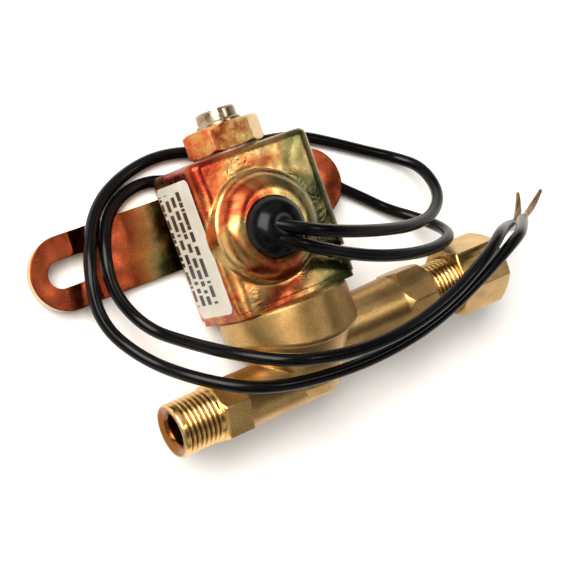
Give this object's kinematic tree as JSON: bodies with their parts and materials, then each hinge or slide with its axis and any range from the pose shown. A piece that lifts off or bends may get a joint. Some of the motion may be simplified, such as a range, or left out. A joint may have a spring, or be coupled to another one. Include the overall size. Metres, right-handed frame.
{
  "type": "solenoid valve",
  "caption": "Two-way solenoid valve: brass body with offset tube ends, plated coil housing with domed lead outlet, slotted mounting strap and two loose black leads.",
  "frame": {"origin": "middle of the mounting strap's back face, on the stem's axis plane; the valve lies on its back", "axes": "+X along the flow from inlet to outlet, +Y along the stem from the body to the top nut, +Z out of the strap's face towards the lead outlet's hub"},
  "size_m": [0.1264, 0.0629, 0.0344],
  "materials": {
    "forged_brass": "fine sand-blasted forging, bright machined ends",
    "nut_brass": "machined bar, lightly tarnished",
    "plated_steel": "yellow zinc plating with an iridescent red, gold and olive passivate",
    "plated_nut": "yellow zinc plating, orange-gold",
    "magnetic_steel": "turned stainless steel",
    "mild_steel": "bare stamped steel",
    "thin_stainless": "drawn stainless tube",
    "spring_steel": "bright wire",
    "copper": "enamelled copper, dull",
    "nylon": "moulded natural nylon",
    "tape": "varnished cloth tape",
    "black_rubber": "smooth, slightly glossy",
    "seal_rubber": "moulded, matte",
    "black_insulation": "extruded, semi-gloss",
    "tinned_strands": "fine bare copper strands",
    "label_stock": "off-white film with rounded corners",
    "splice_tin": "tinned crimp sleeves"
  },
  "bodies": {
    "valve": {"valve_body": "forged_brass", "orifice_insert": "thin_stainless", "inlet_strainer": "thin_stainless", "body_oring": "seal_rubber", "enclosing_tube": "thin_stainless", "plug_stud": "magnetic_steel", "shading_ring": "copper", "return_spring": "spring_steel", "coil_bobbin": "nylon", "coil_winding": "copper", "coil_wrap": "tape", "flux_yoke": "mild_steel", "flux_washer": "mild_steel", "lead_splices": "splice_tin", "housing_can": "plated_steel", "housing_base_plate": "plated_steel", "lead_grommet": "black_rubber", "rating_label": "label_stock", "mounting_bracket": "plated_steel", "bracket_rivets": "mild_steel", "lock_washer": "plated_steel", "top_nut": "plated_nut", "lead_wire_a": "black_insulation", "lead_wire_b": "black_insulation", "lead_strands_a": "tinned_strands", "lead_strands_b": "tinned_strands"},
    "plunger": {"plunger": "magnetic_steel", "plunger_seal": "seal_rubber"},
    "outlet_nut": {"compression_nut": "nut_brass"},
    "outlet_sleeve": {"compression_sleeve": "nut_brass"}
  },
  "joints": [
    {"name": "plunger_lift", "type": "slide", "parent": "valve", "child": "plunger", "axis": [0, 1, 0], "range_m": [0, 0.0015], "stiffness_N_per_m": 150, "springref_m": -0.004, "deforming": ["return_spring"]},
    {"name": "sleeve_slide", "type": "slide", "parent": "valve", "child": "outlet_sleeve", "axis": [1, 0, 0], "range_m": [0, 0.0032]},
    {"name": "nut_turn", "type": "hinge", "parent": "outlet_sleeve", "child": "outlet_nut", "pos_m": [0.046, -0.0303, 0.0138], "axis": [1, 0, 0], "range_deg": [0, 1080]}
  ],
  "couplings": [
    {"joint": "sleeve_slide", "follows": "nut_turn", "m_per_rad": 0.00016844}
  ]
}
